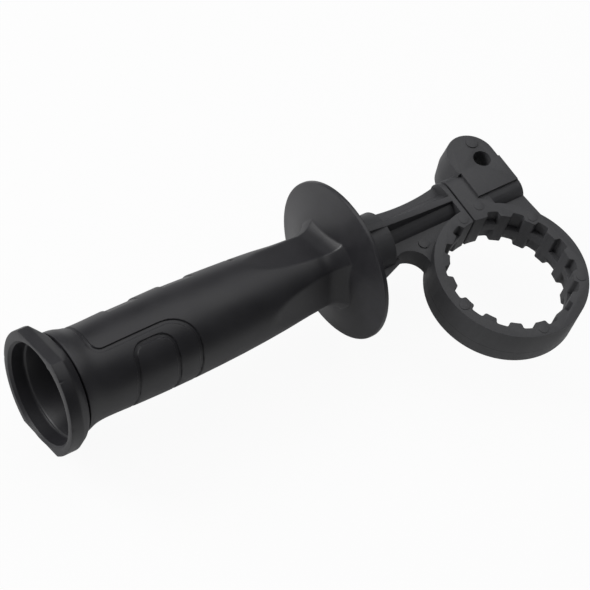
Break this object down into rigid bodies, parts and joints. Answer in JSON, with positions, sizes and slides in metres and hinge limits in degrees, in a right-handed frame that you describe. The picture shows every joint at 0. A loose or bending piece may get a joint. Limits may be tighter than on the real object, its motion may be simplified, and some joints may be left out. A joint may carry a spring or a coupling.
{
  "type": "power tool side handle",
  "caption": "Side handle with a hollow moulded grip, round hand guard and a split toothed clamp ring for a tool's collar, closed by turning the grip.",
  "frame": {"origin": "centre of the clamp ring's bore, half way up the ring", "axes": "+Z along the bore's axis towards the side with the raised pad and the ear's disc; the grip points along -X; the bolt's and grip's axis lies parallel to X at y = +38.2 mm"},
  "size_m": [0.2217, 0.102, 0.065],
  "materials": {
    "clamp_plastic": "matte, fine-grained glass-filled moulding, dark grey",
    "grip_plastic": "satin, near-black moulding with soft broad highlights",
    "steel": "plain zinc-plated"
  },
  "bodies": {
    "base": {"clamp_base": "clamp_plastic", "clamp_bolt": "steel"},
    "handgrip": {"grip": "grip_plastic", "nut": "steel"}
  },
  "joints": [
    {"name": "grip_turn", "type": "hinge", "parent": "base", "child": "handgrip", "pos_m": [-0.06, 0.0382, 0], "axis": [1, 0, 0], "continuous": true}
  ]
}
